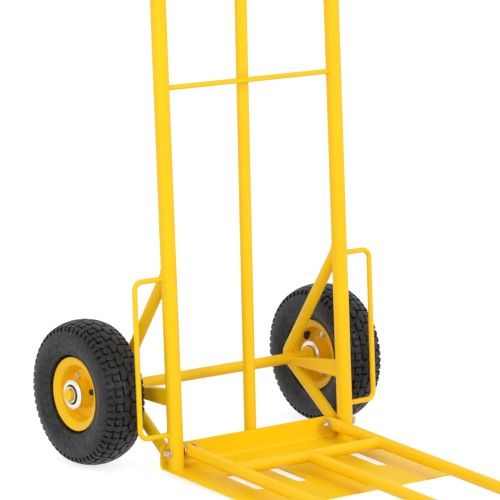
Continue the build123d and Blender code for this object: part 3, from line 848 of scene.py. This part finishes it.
def make_split_pin(name):
    """Split pin: its eye above the axle, and two legs bent apart below it."""
    low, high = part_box(f"{name}_split_pin")
    hub = wheel_centre[name]
    top = Vector(((low.x + high.x) / 2, hub.y, hub.z + axle_radius))
    bottom = top - Vector((0, 0, 2 * axle_radius + pin_leg))
    shape = Shape()
    for way in (-1, 1):
        offset = Vector((0, way * pin_wire, 0))
        points = []
        for angle in (pi * k / 10 for k in range(9)):
            points.append(top + Vector((0, way * pin_eye * sin(angle), pin_eye * (1 + cos(angle)))))
        points.append(top - Vector((0, 0, 0.0005)) + offset)
        points.append(bottom + offset)
        for angle in (0.4, 0.8, 1.2):
            bend = Vector((0, way * pin_bend * (1 - cos(angle)), -pin_bend * sin(angle)))
            points.append(bottom + offset + bend)
        points.append(points[-1] + Vector((0, way * pin_spread, -pin_leg)))
        shape.sweep(points, [pin_wire] * len(points), False, Vector((1, 0, 0)), 10)
    obj = piece(f"{name}_cotter", shape, "zinc", "frame", 60.0, "zinc_painted_reflection")
    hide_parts(f"{name}_split_pin")


def make_axle_cap(name, side):
    """Push-on cap with a rounded edge on the axle's end."""
    matrix, depth = outward(name, f"{name}_axle_cap", side)
    radius = axle_radius + cap_wall
    profile = [(0.0, radius - 0.0003), (0.0003, radius)]
    profile += [(depth - below, radius - inwards) for below, inwards in cap_edge]
    profile.append((depth - cap_edge[-1][0], 0.0004))
    shape = Shape()
    lathe(shape, matrix, profile, 64, False)
    obj = piece(f"{name}_axle_end_cap", shape, "frame_paint", "frame", 40.0)
    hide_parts(f"{name}_axle_cap")


for name, side in sides.items():
    make_washer(name, side)
    make_split_pin(name)
    make_axle_cap(name, side)


# ---- hinge fasteners

hinge_height = 0.041
hinge_y = lean_y(hinge_height)
hinge_flats = 0.013
hinge_head = 0.0053
hinge_recess = 0.0005
hinge_nut = 0.008
nut_hexagon = hinge_nut - 0.0022
hinge_tail = 0.002
hinge_bolt = 0.0039
hinge_point = 0.0009
hinge_bore = 0.00405
nut_collar = ((0.003, 0.004), (0.003, 0.0058), (0.0006, 0.0056), (0.0, 0.0048), (0.0004, 0.004))
seat_thickness = 0.0016
head_seat_radius = 0.008
nut_seat_radius = 0.0105
spacer_radius = 0.01
spacer_float = 0.0003
head_seat = half_gauge + upright_radius
nut_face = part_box("hinge_nuts")[1].x
extension_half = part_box("extension_loop")[1].x - tube_radius


def hinge_frame(side, x, way):
    """Matrix on a side's hinge axis at a distance from the middle, its X pointing along a way."""
    return axis_frame((side * x, hinge_y, hinge_height), (way, 0, 0))


def make_hinge_fasteners():
    """Bolt, lock nut, washers and spacer at both hinges of the extension."""
    shapes = {label: Shape() for label in ("bolts", "nuts", "washers", "spacers")}
    head_face = head_seat + seat_thickness
    shank_end = nut_face - hinge_nut - hinge_tail
    shank = [(0.0, hinge_bolt - hinge_point), (0.0008, hinge_bolt), (head_face - shank_end, hinge_bolt)]
    collar = rounded([(hinge_nut - below, radius) for below, radius in nut_collar], 0.0005, 3)
    spacer_seat = half_gauge - upright_radius - spacer_float
    spacer_length = spacer_seat - (extension_half + tube_radius + spacer_float)
    sixth = Matrix.Rotation(pi / 6, 4, "X")
    for side in sides.values():
        head = hinge_frame(side, head_face, side)
        hexagon(shapes["bolts"], head @ sixth, hinge_flats, hinge_head, recess=hinge_recess)
        lathe(shapes["bolts"], hinge_frame(side, shank_end, side), shank, 32, False)
        nut = hinge_frame(side, nut_face, -side)
        hexagon(shapes["nuts"], nut @ sixth, hinge_flats, nut_hexagon, bore=hinge_bolt)
        lathe(shapes["nuts"], nut, collar, 48)
        for seat, radius in ((head_seat, head_seat_radius), (nut_face, nut_seat_radius)):
            place = hinge_frame(side, seat, side)
            bored_disc(shapes["washers"], place, seat_thickness, radius, hinge_bore, 0.0003)
        place = hinge_frame(side, spacer_seat, -side)
        bored_disc(shapes["spacers"], place, spacer_length, spacer_radius, hinge_bore, 0.0004)
    for label, shape in shapes.items():
        name = f"hinge_{label}_detailed"
        obj = piece(name, shape, "zinc", "frame", finish="zinc_painted_reflection")
        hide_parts(f"hinge_{label}")


make_hinge_fasteners()


# ---- welds

weld_ripple = 0.0026
ripple_steps = 5
ripple_height = 0.13
weld_wander = 0.09


def evenly(points, step, closed):
    """Points at an even spacing along a path."""
    path = points + points[:1] if closed else points
    lengths = [0.0]
    for a, b in zip(path, path[1:]):
        lengths.append(lengths[-1] + (b - a).length)
    count = max(int(lengths[-1] / step), 3)
    result = []
    i = 1
    for k in range(count if closed else count + 1):
        goal = lengths[-1] * k / count
        while lengths[i] < goal and i < len(path) - 1:
            i += 1
        share = (goal - lengths[i - 1]) / max(lengths[i] - lengths[i - 1], 1e-9)
        result.append(path[i - 1].lerp(path[i], share))
    return result


def weld(name, points, radius, body="frame", closed=True, reference=None):
    """Painted weld bead along a seam, with the ripples of its passes."""
    points = evenly(points, weld_ripple / ripple_steps, closed)
    radii = []
    for i in range(len(points)):
        end = 1.0 if closed else min(1.0, 0.45 + min(i, len(points) - 1 - i) / (2.0 * ripple_steps))
        ripple = ripple_height * sin(2 * pi * i / ripple_steps + 0.6 * sin(0.31 * i))
        radii.append(radius * end * (1 + ripple + weld_wander * sin(0.17 * i + radius * 9000)))
    shape = Shape()
    shape.sweep(points, radii, closed, reference)
    piece(f"weld_{name}", shape, "frame_paint", body, 70.0)


def tube_ring(run, first, radius, count):
    """Offsets around a tube, from its run and a direction across it."""
    second = run.cross(first)
    return [first * (radius * cos(angle)) + second * (radius * sin(angle)) for angle in circle(count)]


def saddle(origin, run, radius, other_axis, other_radius):
    """Seam around a tube that starts on another tube's axis and ends on its skin."""
    run = Vector(run).normalized()
    across = Vector(other_axis).normalized()
    ahead = run - across * run.dot(across)
    points = []
    for offset in tube_ring(run, across.cross(run).normalized(), radius, 72):
        flat = offset - across * offset.dot(across)
        a, b, c = ahead.dot(ahead), 2 * flat.dot(ahead), flat.dot(flat) - other_radius ** 2
        rest = max(b * b - 4 * a * c, 0.0)
        points.append(Vector(origin) + offset + run * ((-b + sqrt(rest)) / (2 * a)))
    return points


def plane_seam(origin, run, radius, plane_y):
    """Seam of a tube that ends on a plane across Y."""
    run = Vector(run).normalized()
    spots = [Vector(origin) + offset for offset in tube_ring(run, Vector((1, 0, 0)), radius, 64)]
    return [spot + run * ((plane_y - spot.y) / run.y) for spot in spots]


def crossing_seam(bar, bar_radius, path, radius, x, top=10.0):
    """Seam on a bar along X at (y, z) of a tube that passes it in the plane at x, on a path of (y, z)."""
    spots, count = [], 240
    for angle in circle(count):
        spot = Vector((bar[0] + bar_radius * cos(angle), bar[1] + bar_radius * sin(angle)))
        nearest = 1.0
        for a, b in zip(path, path[1:]):
            a, b = Vector(a), Vector(b)
            share = min(max((spot - a).dot(b - a) / (b - a).length_squared, 0.0), 1.0)
            nearest = min(nearest, (spot - a.lerp(b, share)).length)
        inside = nearest < radius and spot[1] < top
        spots.append((spot, sqrt(radius ** 2 - nearest ** 2)) if inside else None)
    start = next(k for k in range(count) if spots[k] is not None and spots[k - 1] is None)
    run = [spot for spot in spots[start:] + spots[:start] if spot is not None]
    there = [Vector((x + wide, *spot)) for spot, wide in run]
    return there + [Vector((x - wide, *spot)) for spot, wide in reversed(run)]


def flat_outline(half_x, half_z, corner, count=10):
    """Rounded rectangle about the origin, as (x, z)."""
    points = []
    for sx, sz, start in quarter_turns:
        x, z = sx * (half_x - corner), sz * (half_z - corner)
        for angle in (start + pi / 2 * k / count for k in range(count + 1)):
            points.append((x + corner * cos(angle), z + corner * sin(angle)))
    return points


# Where the tubes meet, and how thick the beads are
upright_run = Vector((0, sin(upright_lean), cos(upright_lean)))
sideways = Vector((1, 0, 0))
bar_y = lean_y(bar_height)
axle_height = 0.13
axle_setback = 0.16
plate_back = upright_radius / cos(upright_lean) + lean_y(flange_height) + plate_thickness
plate_slope = atan2(plate_rise, plate_reach + plate_back)
stay_head = (lean_y(0.366), 0.366)
stay_vertex = (axle_setback + 0.016, axle_height + 0.004)
stay_foot_height = 0.0285
stay_drop = (stay_vertex[1] - stay_foot_height) / (stay_vertex[0] - plate_back)
stay_tip = (0.0, stay_foot_height - stay_drop * plate_back)
stay_bend = rounded([stay_head, stay_vertex, stay_tip], 0.016, 8)
stay_line = [stay_head] + [p for p in stay_bend if p[0] > 0.1 and p[1] < 0.2] + [stay_tip]
strut_bottom = axle_height - axle_radius
strut_ends = {"front": (0.01, 0.0345), "rear": (0.024, 0.013)}
strut_corner = 0.004
centre_setback = 0.012
rod_bead = 0.0013
strut_bead = 0.0016
cross_bead = 0.0017
tube_bead = 0.0018
flange_bead = 0.0024
bead_lift = 0.0004
flange_seam_start = 0.022
flange_seam_gap = 0.001
flange_seam_half = 0.0075
flange_seam_back = 0.86 * upright_radius + 0.0012
centre_seam_half = 0.0048
centre_seam_back = 0.0006
guard_setback = 0.004
upright_joints = (
    # label, height, distance behind the axis, inwards or outwards, radius, bead
    ("rod", rod_height, 0.0, -1, rod_radius, rod_bead),
    ("bar", bar_height, 0.0, -1, tube_radius, tube_bead),
    ("guard_low", 0.073, guard_setback, 1, rod_radius, rod_bead),
    ("guard_high", 0.348, guard_setback, 1, rod_radius, rod_bead),
)


def plate_top(y):
    """Height of the toe plate's upper side."""
    return (y + plate_reach) * tan(plate_slope) + plate_thickness / cos(plate_slope)


for name, side in sides.items():
    for label, height, setback, way, radius, bead in upright_joints:
        foot = (side * half_gauge, setback + lean_y(height), height)
        weld(f"{name}_{label}", saddle(foot, (way * side, 0, 0), radius, upright_run, upright_radius), bead)

for name, side in sides.items():
    x = side * half_gauge
    run = Vector((0, *stay_vertex)) - Vector((0, *stay_head))
    seam = saddle((x, *stay_head), run, stay_radius, upright_run, upright_radius)
    weld(f"{name}_stay_head", seam, tube_bead)
    run = Vector((0, *stay_tip)) - Vector((0, *stay_vertex))
    weld(f"{name}_stay_foot", plane_seam((x, *stay_vertex), run, stay_radius, plate_back), tube_bead)
    seam = crossing_seam((axle_setback, axle_height), axle_radius, stay_line, stay_radius, x)
    weld(f"{name}_stay_axle", seam, strut_bead)

    for label, (wide, tall) in strut_ends.items():
        seam = []
        for px, pz in flat_outline(wide / 2, tall / 2, strut_corner):
            z = strut_bottom + tall / 2 + pz
            if label == "front":
                y = lean_y(z) + sqrt(upright_radius ** 2 - px ** 2) / cos(upright_lean)
            else:
                y = axle_setback - sqrt(axle_radius ** 2 - min(abs(z - axle_height), axle_radius) ** 2)
            seam.append(Vector((x + px, y, z)))
        weld(f"{name}_strut_{label}", seam, strut_bead)

    ring = []
    ring_radius = upright_radius + bead_lift
    for angle in circle(60):
        y = lean_y(plate_rise) + ring_radius * sin(angle)
        ring.append(Vector((x + ring_radius * cos(angle), y, plate_top(y) + bead_lift)))
    weld(f"{name}_upright_foot", ring, tube_bead)
    for label, way in (("out", 1), ("in", -1)):
        seam = []
        for k in range(12):
            z = flange_seam_start + (flange_height - flange_seam_gap - flange_seam_start) * k / 11
            seam.append(Vector((x + way * side * flange_seam_half, lean_y(z) + flange_seam_back, z)))
        weld(f"{name}_upright_flange_{label}", seam, flange_bead, closed=False, reference=sideways)

# Centre tube: on its pad, and behind the top bar
pad_low, pad_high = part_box("centre_pad")
pad_size = pad_high - pad_low
pad_middle = (pad_low.z + pad_high.z) / 2
centre_head = Vector((0, bar_y + centre_setback, bar_height))
centre_foot = Vector((0, pad_high.y + tube_radius, pad_middle))
seam = []
for px, pz in flat_outline(pad_size.x / 2, pad_size.z / 2, plate_thickness):
    seam.append(Vector((px, plate_back + bead_lift, pad_middle + pz)))
weld("pad", seam, strut_bead)
for name, side in sides.items():
    heights = [pad_low.z + pad_size.z * k / 8 for k in range(9)]
    seam = [Vector((side * centre_seam_half, pad_high.y + centre_seam_back, z)) for z in heights]
    weld(f"centre_foot_{name}", seam, tube_bead, closed=False, reference=sideways)
centre_path = [centre_foot.yz, centre_head.yz]
seam = crossing_seam((bar_y, bar_height), tube_radius, centre_path, tube_radius, 0.0, bar_height)
weld("centre_head", seam, cross_bead)

# Folding extension
fold_axis = Vector((0, hinge_y, hinge_height))
extension_slope = asin((hinge_height - tube_radius) / extension_reach)
ahead = Vector((0, -cos(extension_slope), -sin(extension_slope)))
cross_middle = fold_axis + ahead * cross_distance
to_rail = sideways * extension_half
extension_joints = {
    # spot, run of the tube that ends there, axis of the one it meets
    "left_cross": (cross_middle - to_rail, sideways, ahead),
    "right_cross": (cross_middle + to_rail, -sideways, ahead),
    "extension_centre_rear": (cross_middle, ahead, sideways),
    "extension_centre_front": (fold_axis + ahead * extension_reach, -ahead, sideways),
}
for label, (spot, run, other) in extension_joints.items():
    weld(label, saddle(spot, run, tube_radius, other, tube_radius), cross_bead, "extension")


# ---- floor, light and camera

floor_size = 14.0
floor_drop = 0.0005
floor_glow = 0.78
floor_shade = 0.42
floor_colour = 0.8
world_light = 0.77
lamp_target = (0, 0, 0.3)


def seen_rays(tree):
    """Socket that is 1 for rays that show the backdrop: seen, mirrored or passed through."""
    rays = tree.nodes.new("ShaderNodeLightPath")
    result = rays.outputs["Is Camera Ray"]
    for label in ("Is Glossy Ray", "Is Transmission Ray"):
        node = tree.nodes.new("ShaderNodeMath")
        node.operation = "MAXIMUM"
        tree.links.new(result, node.inputs[0])
        tree.links.new(rays.outputs[label], node.inputs[1])
        result = node.outputs[0]
    return result


def grey_diffuse(tree, level):
    """Diffuse shader of an even grey."""
    node = tree.nodes.new("ShaderNodeBsdfDiffuse")
    node.inputs["Color"].default_value = (level, level, level, 1.0)
    return node.outputs[0]


def stage_material():
    """White floor: seen or mirrored it is almost white by itself and keeps a faint shadow."""
    material = bpy.data.materials.new("studio_floor")
    material.use_nodes = True
    tree = material.node_tree
    tree.nodes.clear()
    output = tree.nodes.new("ShaderNodeOutputMaterial")
    glow = tree.nodes.new("ShaderNodeEmission")
    glow.inputs["Strength"].default_value = floor_glow
    both = tree.nodes.new("ShaderNodeAddShader")
    pick = tree.nodes.new("ShaderNodeMixShader")
    for result, socket in (
        (glow.outputs[0], both.inputs[0]),
        (grey_diffuse(tree, floor_shade), both.inputs[1]),
        (seen_rays(tree), pick.inputs[0]),
        (grey_diffuse(tree, floor_colour), pick.inputs[1]),
        (both.outputs[0], pick.inputs[2]),
        (pick.outputs[0], output.inputs["Surface"]),
    ):
        tree.links.new(result, socket)
    return material


mesh = bpy.data.meshes.new("floor")
half = floor_size / 2
corners = [(-half, -half, 0), (half, -half, 0), (half, half, 0), (-half, half, 0)]
mesh.from_pydata(corners, [], [(0, 1, 2, 3)])
floor = bpy.data.objects.new("floor", mesh)
floor.location.z = -floor_drop
bpy.context.scene.collection.objects.link(floor)
mesh.materials.append(stage_material())

world = bpy.data.worlds.new("studio")
bpy.context.scene.world = world
world.use_nodes = True
tree = world.node_tree
back = tree.nodes["Background"]
level = tree.nodes.new("ShaderNodeMapRange")
fill(level, {"To Min": world_light, "To Max": 1.0})
tree.links.new(seen_rays(tree), level.inputs["Value"])
tree.links.new(level.outputs["Result"], back.inputs["Strength"])
fill(back, {"Color": (1.0, 1.0, 1.0, 1.0)})


def soft_box(name, place, size, watts):
    """Square area lamp aimed at the truck."""
    lamp = bpy.data.lights.new(name, "AREA")
    lamp.shape = "SQUARE"
    lamp.size = size
    lamp.energy = watts
    obj = bpy.data.objects.new(name, lamp)
    obj.location = place
    obj.rotation_euler = (Vector(lamp_target) - Vector(place)).to_track_quat("-Z", "Y").to_euler()
    bpy.context.scene.collection.objects.link(obj)


soft_box("key_right", (0.9, -3.8, 2.4), 2.0, 47)
soft_box("fill_left", (-3.8, -1.6, 1.5), 2.5, 42)

# Fitted to edges measured in the photo
camera_place = (-3.6798, -4.7048, 1.5759)
camera_turn = radians(37.775)
camera_pitch = radians(11.314)
camera_roll = radians(0.562)
camera = bpy.data.cameras.new("camera")
camera.sensor_width = 36.0
camera.lens = 248.69
camera.clip_end = 100.0
camera_object = bpy.data.objects.new("camera", camera)
turn = Matrix.Rotation(-camera_turn, 4, "Z") @ Matrix.Rotation(pi / 2 - camera_pitch, 4, "X")
camera_object.matrix_world = Matrix.Translation(camera_place) @ turn @ Matrix.Rotation(camera_roll, 4, "Z")
bpy.context.scene.collection.objects.link(camera_object)
bpy.context.scene.camera = camera_object
bpy.context.scene.view_settings.view_transform = "Standard"

bpy.context.view_layer.update()
